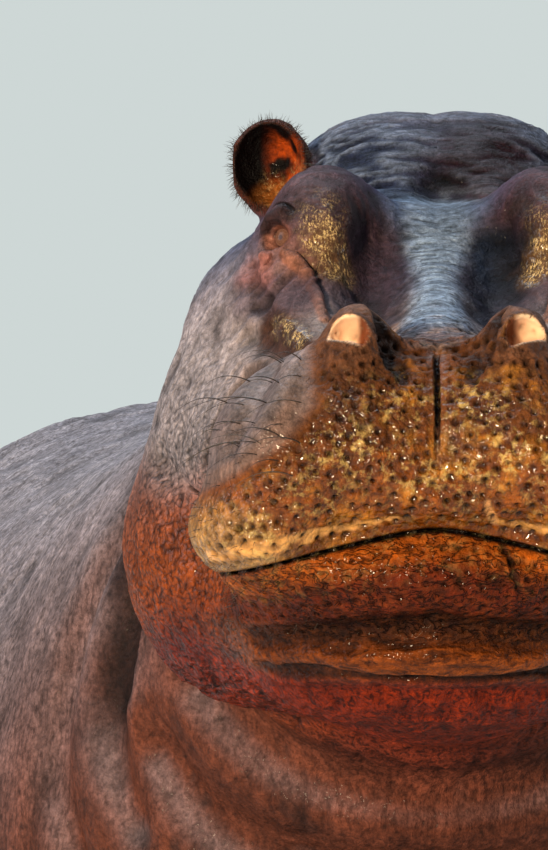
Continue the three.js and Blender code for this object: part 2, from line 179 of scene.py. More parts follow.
BODY = [
    Ball((0, 980, 120), (290, 380, 330), 140),
    Ball((0, 1140, -80), (370, 420, 420), 160),
    Ball((0, 1450, -208), (530, 600, 502), 200),
    Ball((0, 2100, -285), (605, 920, 540), 200),
    Ball((0, 2740, -265), (530, 540, 490), 200),
    Ball((0, 3020, -215), (280, 270, 310), 180),
    Ball((360, 1440, -400), (205, 280, 380), 120),
    Limb([(375, 1440, -550), (365, 1360, -840)], (185, 135), 100),
    Limb([(365, 1360, -840), (360, 1340, -980)], (135, 138)),
    Ball((360, 1315, -1060), (155, 172, 115), 50),
    Ball((335, 2720, -420), (235, 330, 380), 140),
    Limb([(365, 2740, -580), (360, 2900, -820)], (190, 135), 100),
    Limb([(360, 2900, -820), (355, 2870, -980)], (132, 128)),
    Ball((355, 2845, -1060), (145, 165, 115), 50),
]
FEET = {"fore": (360, 1315, 1.0), "hind": (355, 2845, 0.93)}
# Which way each toe points, in degrees, and how far out it lies.
TOES = ((-52, 120), (-18, 140), (18, 140), (52, 120))
for x, y, scale in FEET.values():
    for turn, reach in TOES:
        a = radians(turn)
        at = (x + scale * reach * sin(a), y - scale * reach * cos(a), GROUND * 1000 + 46 * scale)
        BODY.append(Ball(at, np.array((42, 60, 52)) * scale, 20, turn=(0, 0, turn)))
TAIL = [(3120, 60), (3220, 45), (3300, 5), (3350, -65), (3370, -160), (3370, -260), (3362, -350)]
BODY.append(Limb([(0, y, z) for y, z in TAIL], (58, 50, 42, 34, 27, 21, 14), 40, flat=0.75))

MASSES = HEAD + BODY
NOSTRIL = Ball((91, 48, 411), (20.5, 27, 21.5), 4)
EAR_CUP = Ball((185, 689, 579), (39, 39, 46), 5, carve=True, turn=(0, 0, 18))
LID_OPENING = Ball(EYE_MM + (25.2, -25.2, 4.3), (18, 15, 17), 5, carve=True, turn=(0, 0, 45))
FRONT_OPENING = Ball(EYE_MM + (17, -32, 4), (10.5, 22, 12.5), 5, carve=True)
SIDE_HOLLOW = Limb([(66, 436, 508), (62, 385, 484), (60, 300, 450)], (12, 27, 24), 32, carve=True)
DIP = Ball((10, 596, 560), (15, 30, 12), 46, mirror=False, carve=True)
CORNER = [
    Limb([(252, 160, 157), (262, 300, 195)], 8, 30, carve=True),
    Limb([(262, 300, 195), (296, 460, 262)], (8, 6), 30, carve=True),
]


def on_skin(points):
    """Moves points in millimetres onto the melted masses; gives metres."""
    p = np.array(points, float) / 1000
    p[:, 0] += sway(p[:, 1])
    for _ in range(4):
        p -= slope(p) * field(p, MASSES, 0.3)[:, None]
    p[:, 0] -= sway(p[:, 1])
    return p


def rounded(points, steps=4):
    """Catmull-Rom curve through points."""
    p = np.array(points, float)
    ends = np.vstack([2 * p[0] - p[1], p, 2 * p[-1] - p[-2]])
    out = []
    for i in range(len(p) - 1):
        a, b, c, d = ends[i : i + 4]
        for t in np.arange(steps) / steps:
            out.append(
                0.5 * (2 * b + (c - a) * t + (2 * a - 5 * b + 4 * c - d) * t**2 + (3 * b - a - 3 * c + d) * t**3)
            )
    return np.array(out + [p[-1]])


def strand(points, radii, k, carve=True, lift=0.0, mirror=True):
    """A crease (or, not carved, a fold) lying on the skin along a curve. Millimetres."""
    curve = rounded(points)
    radii = np.interp(np.linspace(0, 1, len(curve)), np.linspace(0, 1, np.size(radii)), np.atleast_1d(radii))
    snapped = on_skin(curve) * 1000
    if lift:
        at = snapped / 1000
        at[:, 0] += sway(at[:, 1])
        snapped += slope(at) * lift
    return Limb(snapped, radii, k, mirror, carve)


def lid(forward, up, out):
    """A point by the eye, so many millimetres to the nose, up, and out."""
    ahead = np.array((LOOK[1], -LOOK[0], 0.0))
    rise = np.cross(ahead, LOOK)
    rise = rise / norm(rise) * copysign(1, rise[2])
    return tuple(EYE_MM + ahead * forward + rise * up + LOOK * out)


def mouth_height(x, y):
    """Height of the closed lips, metres."""
    back = np.maximum(y * 1000 - 150, 0)
    return (213 - 0.26 * (np.hypot(x * 1000, 30) - 30) + 0.186 * back + 0.00063 * back * back) / 1000


def carved(f, d, k):
    return -smooth_min(-f, d, k)


# 0 roll of the upper lid, 1 crease over it, 2 to 4 folds under the eye, 5 tear ridge, 6 its groove, 7 a fine crease.
LIDS = [
    Limb([lid(-19, 8, 26), lid(-12, 19, 27), lid(2, 25, 27), lid(13, 20, 25)],
         (5, 8, 8, 5), 6),
    strand([(179, 470, 530), (170, 456, 538), (159, 434, 537), (152, 423, 532)], (1.5, 2, 2, 1), 2),
    Limb([lid(17, -4, 25), lid(13, -17, 27), lid(5, -29, 24)], (3, 4, 3), 4),
    Limb([lid(-17, -2, 25), lid(-9, -14, 27), lid(0, -23, 27), lid(8, -31, 23)],
         (3, 4, 4, 3), 3),
    Ball((181, 420, 481), (7, 8, 7), 5),
    strand([(159, 406, 486), (153, 398, 482), (146, 390, 475), (138, 380, 466), (131, 366, 455), (126, 344, 443),
            (121, 316, 430), (117, 288, 416)], (3, 5, 5, 4.5, 4.5, 4.5, 3, 2), 8, False, 2),
    strand([(148, 396, 484), (139, 388, 476), (131, 378, 466), (124, 363, 453), (119, 340, 440), (113, 310, 426)],
           (1, 1.2, 1.3, 1.5, 1.5, 1), 8),
    strand([(176, 460, 526), (169, 446, 532), (160, 431, 531)], (1, 1.3, 1), 1),
]
PAD_EDGE = strand(
    [(250, 340, 262), (241, 325, 300), (226, 315, 332), (207, 308, 357), (184, 280, 376), (160, 235, 388),
     (140, 210, 394)],
    (5, 11, 13, 12, 10, 8, 5), 14)
V_NOTCH = strand([(64, 88, 428), (56, 72, 414), (47, 58, 396), (40, 46, 380), (34, 36, 366)], (8, 13, 15, 10, 3), 7)
UNDER_LIP = strand([(192, 190, 96), (155, 134, 97), (99, 84, 104), (0, 52, 112)], (4, 10, 13, 13), 24)
CHIN_LINE = strand([(190, 230, 58), (180, 195, 52), (109, 118, 49), (0, 96, 44)], (4, 10, 13, 13), 9)
SCARS = [
    strand([(50, 22, 244), (54, 24, 232), (59, 28, 219)], (2, 3, 3), 4, mirror=False),
    strand([(66, 40, 204), (70, 38, 188), (77, 40, 168), (82, 44, 150)], (2, 3, 3, 2), 4, mirror=False),
]
CREASES = [
    strand([(128, 84, 390), (139, 72, 382), (149, 45, 359), (158, 30, 340), (170, 21, 320),
            (183, 20, 302), (197, 28, 285)],
           (4, 8, 10, 10, 9, 7, 3), 18, False, -3),
    strand([(170, 122, 378), (180, 92, 366), (191, 64, 344), (203, 52, 320), (214, 54, 297)],
           (2, 9, 11, 10, 4), 26),
    PAD_EDGE,
    strand([(196, 430, 470), (192, 414, 453), (191, 398, 433), (182, 347, 413)], (4, 8, 8, 4), 12),
    strand([(186, 408, 452), (181, 388, 438), (172, 338, 420)], (3, 7, 4), 9),
    strand([(196, 380, 400), (184, 340, 398), (166, 285, 388), (142, 240, 384)], (5, 12, 14, 9), 22),
    V_NOTCH,
    Limb([(1, 88, 404), (-1, 60, 384), (0, 34, 360), (1, 19, 332), (0, 12, 308), (0, 6, 284)],
         (12, 15, 14, 11, 7, 3), 12, False, True, flat=0.15),
    strand([(0, 92, 400), (20, 86, 396), (42, 76, 398)], (9, 10, 7), 14),
    UNDER_LIP,
    CHIN_LINE,
    *SCARS,
    strand([(150, 700, 500), (176, 668, 512), (206, 690, 520)], (5, 8, 5), 12),
]
FOLDS = [
    strand([(250, 900, 330), (318, 930, 180), (343, 946, 81), (355, 944, 25), (352, 958, -60), (310, 930, -160)],
           (8, 20, 24, 24, 20, 10), 55),
    strand([(300, 1040, 300), (372, 1070, 120), (400, 1085, -20), (390, 1075, -150), (320, 1030, -280)],
           (8, 16, 20, 18, 10), 60),
    strand([(0, 780, -60), (120, 790, -40), (220, 800, 10)], (24, 22, 12), 60),
    strand([(0, 880, -170), (140, 890, -150), (250, 900, -80)], (26, 24, 12), 60),
    strand([(520, 1760, -420), (500, 1700, -560), (440, 1640, -690), (380, 1600, -760)], (10, 24, 26, 14), 70),
    strand([(560, 2330, -420), (545, 2400, -560), (480, 2440, -700)], (10, 30, 20), 80),
    strand([(430, 1210, -560), (380, 1190, -640), (300, 1190, -680)], (10, 18, 10), 50),
    strand([(0, 3120, 130), (70, 3130, 90), (95, 3150, 10)], (10, 14, 8), 30),
]
ANKLE = 140
for x, y, z, r in ((365, 1345, -935, 5), (365, 1350, -880, 4), (358, 2890, -935, 5), (358, 2895, -870, 4)):
    ring = [(x + ANKLE * cos(a), y + ANKLE * sin(a), z - 10 * sin(a)) for a in np.arange(9) * pi / 4]
    FOLDS.append(strand(ring, r, 25))


def nostrils(p):
    """Which points are near a nostril, and how far each is from its hooded hollow."""
    q = p.copy()
    q[:, 0] = np.abs(p[:, 0] - sway(p[:, 1]))
    near = np.flatnonzero((np.abs(q - NOSTRIL.at) < 0.07).all(1))
    q = q[near] - NOSTRIL.at
    rim = 0.371 * q[:, 0] - 0.928 * q[:, 2] - 0.0045 - 0.35 * np.maximum(q[:, 1] + 0.012, 0)
    d = -smooth_min(-NOSTRIL.distance(q + NOSTRIL.at), -rim, 0.003)
    return near, d


FURROW = 0.01


def lips(p, f):
    """Cuts the closed mouth as a furrow, narrowing inwards."""
    x = p[:, 0] - sway(p[:, 1])
    d = np.abs(p[:, 2] - mouth_height(x, p[:, 1])) * 0.95
    fade = np.clip((0.5 - p[:, 1]) / 0.1, 0, 1)
    width = 0.0021 * np.clip(1 + f / FURROW, 0, 1)
    return carved(f, d - width + 0.02 * (1 - fade), 0.003)


def skin_field(p, reach=0.05):
    """The whole surface, with its hollows, folds and creases."""
    hollows = [LID_OPENING, FRONT_OPENING, SIDE_HOLLOW, DIP, EAR_CUP] + CORNER
    f = lips(p, field(p, MASSES + FOLDS + LIDS + hollows + CREASES, reach))
    near, d = nostrils(p)
    f[near] = carved(f[near], d, 0.003)
    return f


def stations(start, stop, fine_from, fine_to, edge):
    """Places along one axis, twice as far apart outside the fine part."""
    before = np.arange(fine_from - edge, start - 2 * edge, -2 * edge)[::-1]
    inner = np.arange(fine_from, fine_to, edge)
    after = np.arange(inner[-1] + 2 * edge, stop + 2 * edge, 2 * edge)
    return np.concatenate([before, inner, after])


def first_mesh(edge):
    """Meshes the whole surface on a lattice that is finest round the head."""
    axes = [stations(-0.96, 0.55, -0.31, 0.31, edge), stations(-0.02, 3.44, -0.02, 0.84, edge),
            stations(GROUND - 0.02, 0.66, -0.04, 0.66, edge)]
    factor = 4
    axes = [np.append(axis, axis[-1] + 2 * edge * np.arange(1, 1 + -len(axis) % factor)) for axis in axes]
    blocks = [axis.reshape(-1, factor) for axis in axes]
    middles = np.stack(np.meshgrid(*[block.mean(1) for block in blocks], indexing="ij"), -1)
    coarse = skin_field(middles.reshape(-1, 3), 0.09).reshape(middles.shape[:3])
    widths = np.meshgrid(*[np.ptp(block, axis=1) for block in blocks], indexing="ij")
    near = np.abs(coarse) < np.sqrt(sum(w * w for w in widths)) * 0.62
    every = np.ix_(*[np.arange(len(axis)) // factor for axis in axes])
    values = coarse.astype(np.float32)[every]
    cells = np.argwhere(near[every])
    values[tuple(cells.T)] = skin_field(np.stack([axes[i][cells[:, i]] for i in range(3)], 1))
    grid = openvdb.FloatGrid(1.0)
    grid.copyFromArray(values)
    points, quads = grid.convertToQuads(0.0)
    co = np.stack([np.interp(points[:, i], np.arange(len(axes[i])), axes[i]) for i in range(3)], 1)
    quads = quads.astype(np.int64)
    a, b, c, d = (co[quads[:, i]] for i in range(4))
    swap = (norm(a - c, axis=1) > norm(b - d, axis=1))[:, None]
    quads = np.where(swap, np.roll(quads, -1, axis=1), quads)
    return co, np.concatenate([quads[:, (0, 1, 2)], quads[:, (0, 2, 3)]])


def refined(co, tris, wanted):
    """Splits each edge whose two ends are wanted, and its triangles to match."""
    edges = np.sort(np.concatenate([tris[:, (0, 1)], tris[:, (1, 2)], tris[:, (2, 0)]]), axis=1)
    keys, back = np.unique(edges[:, 0] * len(co) + edges[:, 1], return_inverse=True)
    first, second = keys // len(co), keys % len(co)
    split = wanted[first] & wanted[second]
    fresh = np.full(len(keys), -1)
    fresh[split] = len(co) + np.arange(split.sum())
    middle = fresh[back.reshape(3, -1).T]
    co = np.vstack([co, (co[first[split]] + co[second[split]]) / 2])
    count = (middle >= 0).sum(1)
    out = [tris[count == 0]]
    six = np.hstack([tris, middle])
    out += [six[count == 3][:, cut] for cut in ((0, 3, 5), (3, 1, 4), (5, 4, 2), (3, 4, 5))]
    for turn in range(3):
        six = np.hstack([np.roll(tris, -turn, axis=1), np.roll(middle, -turn, axis=1)])
        one = six[(count == 1) & (six[:, 3] >= 0)]
        two = six[(count == 2) & (six[:, 5] < 0)]
        out += [one[:, cut] for cut in ((0, 3, 2), (3, 1, 2))]
        out += [two[:, cut] for cut in ((3, 1, 4), (0, 3, 4), (0, 4, 2))]
    return co, np.concatenate(out)


def normals_of(co, tris):
    a, b, c = (co[tris[:, i]] for i in range(3))
    face = np.cross(b - a, c - a)
    out = np.stack([sum(np.bincount(tris[:, k], face[:, i], len(co)) for k in range(3)) for i in range(3)], 1)
    return out / np.maximum(norm(out, axis=1, keepdims=True), 1e-12)


def settle(co, tris, chosen, cap=0.006):
    """Moves the chosen points along their normals until they lie on the surface."""
    n = normals_of(co, tris)[chosen]
    start = co[chosen]
    t = np.zeros(len(start))
    f = skin_field(start)
    rate = np.ones(len(start))
    for _ in range(2):
        step = np.clip(-f / rate, -0.004, 0.004)
        after = np.clip(t + step, -cap, cap)
        g = skin_field(start + n * after[:, None])
        moved = after - t
        safe = np.abs(moved) > 1e-6
        rate[safe] = np.clip((g[safe] - f[safe]) / moved[safe], 0.35, 1.3)
        t, f = after, g
    co = co.copy()
    co[chosen] = start + n * np.clip(t - f / rate, -cap, cap)[:, None]
    return co


def lattice(i, j, k, seed):
    """A repeatable random number from 0 to 1 at each lattice point."""
    h = (i * 374761393 + j * 668265263 + k * 1274126177 + seed * 974634777) & 0xFFFFFFFF
    h = ((h ^ (h >> 13)) * 1103515245) & 0xFFFFFFFF
    return ((h ^ (h >> 16)) & 0xFFFF) / 65535.0


def noise(p, seed, octaves=1):
    """Smooth noise, about -1 to 1, one feature to each unit of p."""
    total, size, height = np.zeros(len(p)), 0.0, 1.0
    for octave in range(octaves):
        q = p * 2.0**octave + 17.3 * octave
        cell = np.floor(q).astype(np.int64)
        t = q - cell
        t = t * t * (3 - 2 * t)
        value = 0.0
        for corner in np.ndindex(2, 2, 2):
            weight = np.prod([t[:, i] if corner[i] else 1 - t[:, i] for i in range(3)], axis=0)
            value = value + weight * lattice(*(cell + corner).T, seed + octave)
        total += (value * 2 - 1) * height
        size += height
        height *= 0.5
    return total / size


def ease(value, start, stop):
    """0 at start, 1 at stop, smooth between; start may be the larger."""
    t = np.clip((value - start) / (stop - start), 0, 1)
    return t * t * (3 - 2 * t)


def inside(shape, edge, grow=0.0):
    """How far each skin point is in a shape, 0 to 1, with a soft edge; edge and grow are millimetres."""
    q = folded if shape.mirror else flat
    margin = (edge + grow) / 1000
    near = np.flatnonzero(((q > shape.low - margin) & (q < shape.high + margin)).all(1))
    out = np.zeros(len(q))
    out[near] = ease(shape.distance(q[near]) - grow / 1000, edge / 1000, -edge / 1000)
    return out


def linear(rgb):
    """Screen colour 0 to 255 to linear light."""
    c = np.array(rgb, float) / 255
    return np.where(c <= 0.04045, c / 12.92, ((c + 0.055) / 1.055) ** 2.4)


def placed(name, data):
    piece = bpy.data.objects.new(name, data)
    scene.collection.objects.link(piece)
    return piece


def make_mesh(name, co, tris):
    mesh = bpy.data.meshes.new(name)
    mesh.vertices.add(len(co))
    mesh.vertices.foreach_set("co", np.ascontiguousarray(co + SHIFT, np.float32).ravel())
    mesh.loops.add(len(tris) * 3)
    mesh.loops.foreach_set("vertex_index", np.ascontiguousarray(tris, np.int32).ravel())
    mesh.polygons.add(len(tris))
    mesh.polygons.foreach_set("loop_start", np.arange(0, len(tris) * 3, 3, dtype=np.int32))
    mesh.update(calc_edges=True)
    mesh.shade_smooth()
    return placed(name, mesh)


def give(piece, name, values):
    """Stores a number or colour at each point for the material."""
    kind, field_name = ("FLOAT", "value") if values.ndim == 1 else ("FLOAT_COLOR", "color")
    if kind == "FLOAT_COLOR":
        values = np.c_[values, np.ones(len(values))]
    layer = piece.data.attributes.new(name, kind, "POINT")
    layer.data.foreach_set(field_name, values.astype(np.float32).ravel())


def build_skin():
    """The whole surface, refined over face and ears, and again round the eyes."""
    co, tris = first_mesh(FINE_EDGE)
    x = np.abs(co[:, 0] - sway(co[:, 1]))
    face = (co[:, 1] < 0.56) & (co[:, 2] > -0.01)
    ears = (x > 0.12) & (x < 0.25) & (co[:, 1] < 0.78) & (co[:, 2] > 0.51)
    co, tris = refined(co, tris, face | ears)
    x = np.abs(co[:, 0] - sway(co[:, 1]))
    co, tris = refined(co, tris, norm(np.c_[x, co[:, 1:]] - EYE, axis=1) < 0.06)
    return settle(co, tris, np.flatnonzero(co[:, 1] < 0.85)), tris


co, tris = build_skin()
normal = normals_of(co, tris)
flat = co.copy()
flat[:, 0] -= sway(co[:, 1])
folded = np.c_[np.abs(flat[:, 0]), flat[:, 1:]]
across, along, up = folded.T
from_eye = norm(folded - EYE, axis=1)
from_lips = up - mouth_height(flat[:, 0], along)


# Where each kind of texture lies, 0 to 1.
muzzle = ease(along, 0.36, 0.2) * ease(up, 0.1, 0.19) * ease(up, 0.45, 0.4)
upper_lip = ease(from_lips, -0.003, 0.005)
pad = muzzle * upper_lip
lip_front = ease(along, 0.36, 0.26) * (1 - upper_lip) * ease(up, 0.085, 0.11)
chin = ease(along, 0.42, 0.3) * (1 - upper_lip) * ease(up, 0.12, 0.095) * ease(up, 0.045, 0.06)
throat = ease(up, 0.062, 0.045) * ease(along, 0.9, 0.55) * ease(up, -0.35, -0.1)
jowl = inside(Ball((215, 470, 150), (130, 250, 200)), 80) * (1 - muzzle) * (1 - lip_front)
ridge_line = [(0, 150, 400), (0, 300, 430), (0, 390, 462), (0, 470, 490), (0, 560, 520)]
bridge = inside(Limb(ridge_line, (56, 34, 24, 38, 80)), 14)
dome = ease(along, 0.52, 0.6) * ease(along, 1.05, 0.85) * ease(up, 0.36, 0.46) * (1 - bridge)
dome *= 1 - inside(Ball((181, 712, 585), (54, 56, 66)), 8)
body = ease(along, 0.85, 1.15)
front_pad = pad * ease(normal[:, 1], 0.45, 0.0)


def scatter(candidates, spacing, rng):
    """Picks points no nearer to each other than spacing."""
    cells = np.floor(candidates / (spacing * 0.5)).astype(int)
    order = rng.permutation(len(candidates))
    _, picked = np.unique(cells[order], axis=0, return_index=True)
    pool = candidates[order[np.sort(picked)]]
    taken, out = {}, []
    for i, p in enumerate(pool):
        key = tuple(np.floor(p / spacing).astype(int))
        around = [taken.get(tuple(np.add(key, step) - 1), ()) for step in np.ndindex(3, 3, 3)]
        if all(norm(pool[j] - p) >= spacing for group in around for j in group):
            taken.setdefault(key, []).append(i)
            out.append(p)
    return np.array(out)


rng = np.random.default_rng(7)
bristly = np.clip(front_pad + ease(along, 0.3, 0.2) * lip_front * 0.7, 0, 1)
bristly *= ease(np.abs(from_lips), 0.007, 0.014) * (1 - inside(NOSTRIL, 14))
bristly *= ease(across + 0.02 * ease(up, 0.3, 0.28), 0.008, 0.014)
pit_edge = np.interp(up, (0.235, 0.257, 0.298, 0.34, 0.382), (0.25, 0.205, 0.141, 0.11, 0.116))
pitted = ease(across, pit_edge + 0.014, pit_edge - 0.016)
bristly *= pitted
spotted = np.flatnonzero(bristly > 0.25)
pits = scatter(co[spotted], 0.0118, rng)
tree = KDTree(len(spotted))
for i, v in enumerate(spotted):
    tree.insert(co[v], i)
tree.balance()
pit, rim = np.zeros(len(co)), np.zeros(len(co))
for centre in pits:
    radius = rng.uniform(0.0026, 0.0056)
    for _, i, d in tree.find_range(centre, radius * 2.1):
        v = spotted[i]
        pit[v] = max(pit[v], float(ease(d, radius * 1.15, 0.0004)))
        rim[v] = max(rim[v], float(ease(d, radius * 2.1, radius * 1.3)))
pit *= bristly
rim *= bristly * (1 - pit)


# Relief too broad for bump: rolls, wrinkles, pebbles and the pits of the whiskers.
def stretched(x, y, z, seed, octaves=2):
    return noise(flat * (x, y, z), seed, octaves)


warp = 0.012 * np.stack([stretched(22, 22, 22, seed) for seed in (41, 42, 43)], 1)


def creased(values):
    """Sharp-edged folds: 1 on the crests, falling to 0 in the furrows."""
    return 1 - np.abs(values) * 2.2


def ridges(x, y, z, seed, octaves=1):
    return creased(noise((flat + warp) * (x, y, z), seed, octaves))


cobbles = stretched(70, 70, 70, 21)
waves = ridges(13, 48, 66, 3, 3)
rows = ridges(24, 88, 96, 5)
lines = ridges(10, 60, 84, 7, 2)
pleats = ridges(62, 30, 12, 9, 2)
plates = ridges(34, 60, 62, 11, 2)
pebbles = stretched(110, 110, 110, 13)
streaks = ridges(20, 20, 5, 17, 2)
wrinkles = ridges(34, 34, 26, 15, 2)
slant = np.stack([flat[:, 0] * 30, flat[:, 1] * 10, flat[:, 2] * 60 + across * 50], 1)
under_lines = creased(noise(slant + warp * 60, 51, 2))
under_eye = inside(Ball((166, 385, 448), (62, 90, 66)), 24) * ease(from_eye, 0.04, 0.055)
calm = 1 - inside(Ball(EYE_MM, (30, 30, 30)), 14) * 0.85
calm *= ease(np.abs(from_lips) + 0.03 * ease(along, 0.4, 0.46), 0.003, 0.012)
calm *= ease(across + 0.02 * ease(along, 0.1, 0.12) + 0.02 * ease(up, 0.3, 0.28), 0.005, 0.012)
plain = np.clip(1 - under_eye - muzzle - bridge - dome - chin - throat - jowl - lip_front - body, 0, 1)
relief = -0.004 * pit * calm + 0.0006 * rim * calm
for height, mask, pattern in (
    (0.003, pad * (0.35 + 0.65 * pitted), cobbles),
    (0.0042, dome, waves),
    (0.0009, bridge, rows),
    (0.0042, under_eye, under_lines),
    (0.0022, chin, lines),
    (0.0034, throat, pleats),
    (0.0016, lip_front, plates),
    (0.0022, jowl, pebbles),
    (0.0028, np.clip(plain + 0.5 * jowl, 0, 1), wrinkles),
    (0.0034, body, streaks),
):
    relief += height * mask * np.clip(pattern, -1, 1) * calm
relief += 0.0035 * ease(along, 0.62, 0.8) * stretched(16, 16, 8, 19)
co = co + normal * relief[:, None]
co[:, 2] = np.maximum(co[:, 2], GROUND)

# How shut in each point is: 0 on open skin, 1 deep in a fold. It paints shade into the folds and creases below.
reach = 0.014
fold_shade = 1 - np.clip(skin_field(co + normal * reach) / reach, 0, 1)
fold_shade = ease(fold_shade, 0.1, 0.85)

# Colour: soft patches laid over one another, in the order given.
# Paler and bluer on faces turned up, darker and redder on faces turned down: partly the skin's own colour, partly
# painted sky light and shade.
sky_lit = ease(normal[:, 2], -0.15, 1.0)[:, None]
tone = linear((90, 48, 34)) * (1 - sky_lit) + linear((142, 140, 150)) * sky_lit
blotch = stretched(6, 6, 6, 31, 3)
freckle = stretched(40, 40, 40, 33, 3)


def tint(weight, colour):
    global tone
    tone = tone + (linear(colour) - tone) * np.clip(weight, 0, 1)[:, None]


RED_CROWN = Ball((52, 650, 585), (70, 110, 66), mirror=False)
bridge_line = [(0, 150, 395), (0, 300, 428), (0, 390, 462), (0, 470, 490), (0, 560, 512)]
for shape, edge, colour, strength in (
    # Painted shadow in the neck fold behind the jowl.
    (Ball((361, 950, 130), (44, 80, 66)), 22, (36, 25, 25), 0.85),
    (Ball((357, 946, 26), (40, 44, 84)), 18, (30, 19, 18), 0.85),
    (Limb([(150, 620, 250), (160, 300, 300)], 170), 90, (140, 126, 124), 0.85),
    (Ball((230, 560, 300), (90, 200, 200)), 70, (150, 141, 146), 0.85),
    (Ball((215, 500, 110), (160, 250, 180)), 70, (146, 66, 10), 0.95),
    (Ball((190, 420, 36), (170, 220, 80)), 50, (96, 16, 2), 0.9),
    (Ball((275, 450, 320), (64, 160, 86)), 34, (150, 142, 148), 0.85),
    (Ball((0, 620, 470), (260, 260, 200)), 60, (60, 69, 100), 0.97),
    (Ball((90, 690, 580), (70, 110, 56)), 40, (14, 24, 48), 0.8),
    (RED_CROWN, 40, (34, 8, 15), 0.92),
    (Ball((60, 560, 545), (60, 60, 24), mirror=False), 16, (70, 40, 42), 0.7),
    # Painted shade in the dip where the dome meets the saddle.
    (Ball((10, 596, 562), (32, 58, 20), mirror=False), 14, (8, 3, 5), 0.95),
    (Ball((123, 485, 487), (70, 96, 96)), 26, (74, 39, 36), 0.95),
    (Limb([(135, 400, 465), (150, 330, 420)], (40, 34)), 24, (112, 74, 64), 0.8),
    (Ball((96, 450, 480), (36, 74, 74)), 22, (40, 24, 25), 0.9),
    (Limb([(66, 450, 485), (70, 300, 425)], (42, 42)), 20, (56, 42, 52), 0.92),
    # Painted shade: the hollow beside the bridge and the inner brow darker on one side only, where the key light does
    # not reach.
    (Limb([(62, 450, 485), (62, 300, 430)], (30, 30), mirror=False), 12, (12, 26, 44), 0.9),
    (Ball((88, 420, 466), (30, 70, 46), mirror=False), 16, (16, 15, 22), 0.85),
    # Pale blue bridge and saddle: the grey skin under a painted sky reflection.
    (Limb(bridge_line, (44, 25, 16, 34, 62)), 12, (148, 170, 198), 0.95),
    (Ball((0, 505, 515), (75, 42, 34)), 22, (88, 104, 128), 0.6),
    (Ball((70, 60, 310), (180, 210, 130)), 40, (108, 58, 10), 0.97),
    (Ball((0, 70, 235), (270, 220, 66)), 40, (144, 74, 10), 0.85),
    (Ball((212, 80, 196), (60, 120, 36)), 24, (214, 160, 92), 0.9),
    (Ball((82, 90, 385), (46, 66, 60)), 14, (116, 78, 58), 0.85),
    (Ball((181, 712, 578), (50, 48, 58)), 10, (88, 40, 17), 0.95),
):
    tint(inside(shape, edge) * strength, colour)

# The muzzle and the lower jaw.
PALE_BAND = Limb([(228, 75, 184), (189, 25, 196), (138, 26, 204), (88, 37, 216), (40, 26, 226)], (7, 7, 7, 5, 2))
side_face = pad * ease(across, pit_edge + 0.004, pit_edge + 0.03) * ease(up, 0.225, 0.25)
tint(side_face * 0.9, (140, 114, 106))
tint(side_face * ease(across, pit_edge + 0.036, pit_edge + 0.052) * 0.8, (122, 108, 110))
# Painted sky sheen: the side of the muzzle paler where it turns upwards.
tint(side_face * ease(normal[:, 2], 0.35, 0.85) * 0.55, (164, 156, 162))
tint(lip_front, (84, 27, 3))
tint(lip_front * ease(from_lips, -0.045, -0.01), (150, 72, 12))
tint(chin, (126, 60, 14))
tint(throat * ease(along, 0.75, 0.5), (122, 36, 8))
tint(pad * pitted * ease(freckle, 0.05, 0.45) * 0.5, (180, 116, 26))
tint(inside(PALE_BAND, 3, 1) * ease(freckle, -0.55, -0.3), (250, 180, 100))

# Round the eye.
SHEEN = Limb([(124, 402, 506), (106, 392, 466)], (13, 15))
LOW_SHEEN = Limb([(176, 334, 414), (142, 258, 403)], (9, 9))
tint(inside(LID_OPENING, 9), (104, 66, 50))
tint(inside(FRONT_OPENING, 6, 2) * 0.8, (112, 62, 38))
tint(inside(LID_OPENING, 2, 1) * ease(from_eye, 0.0275, 0.0245) * 0.9, (36, 20, 18))
tint(inside(LIDS[0], 4, 5) * ease(from_eye, 0.0285, 0.0315) * 0.9, (40, 26, 28))
for fold in LIDS[2:5]:
    tint(inside(fold, 3, 2) * 0.65, (134, 86, 70))
tint(inside(LIDS[5], 4, 3) * 0.65, (142, 90, 66))
# Painted shade in the groove beside the tear ridge.
tint(inside(LIDS[6], 3, 3) * 0.3, (44, 28, 24))
# Painted shade in the fine creases over the eye.
for crease in (LIDS[1], LIDS[7]):
    tint(inside(crease, 1.2, 1.2) * 0.9, (18, 11, 12))
tint(under_eye * ease(up, 0.47, 0.455) * ease(up, 0.405, 0.425) * 0.75, (74, 62, 74))
tint(under_eye * ease(across, 0.165, 0.18) * ease(up, 0.44, 0.46) * 0.7, (134, 84, 78))
tint(inside(Limb([(182, 350, 408), (160, 300, 400), (134, 200, 394)], (20, 22, 15)), 9, 4) * 0.9, (62, 32, 12))
tint(inside(SHEEN, 14, 4) * 0.6, (104, 74, 38))

# The bowls of the nostrils and the cups of the ears.
near, d = nostrils(co)
bowl = np.zeros(len(co))
bowl[near] = ease(d, 0.0034, 0.0012)
# Pale pink inside the nostril bowls: partly their own colour, partly painted light falling into them.
tint(bowl, (252, 208, 170))
# Painted shade on the outer side of each bowl, under the hood's wall.
tint(bowl * ease(across, 0.083, 0.076), (120, 62, 34))
cup = inside(EAR_CUP, 2.5, 2.5)
# Painted shade deep in the ear cups.
tint(cup, (5, 3, 4))
# Painted glow: orange light shining through the thin ear, inside the cup.
tint(inside(Ball((164, 700, 588), (20, 44, 40)), 14) * cup * ease(freckle, -0.35, 0.1), (158, 60, 8))
tint(cup * inside(Ball((172, 690, 546), (30, 44, 20)), 10) * 0.8, (128, 72, 24))

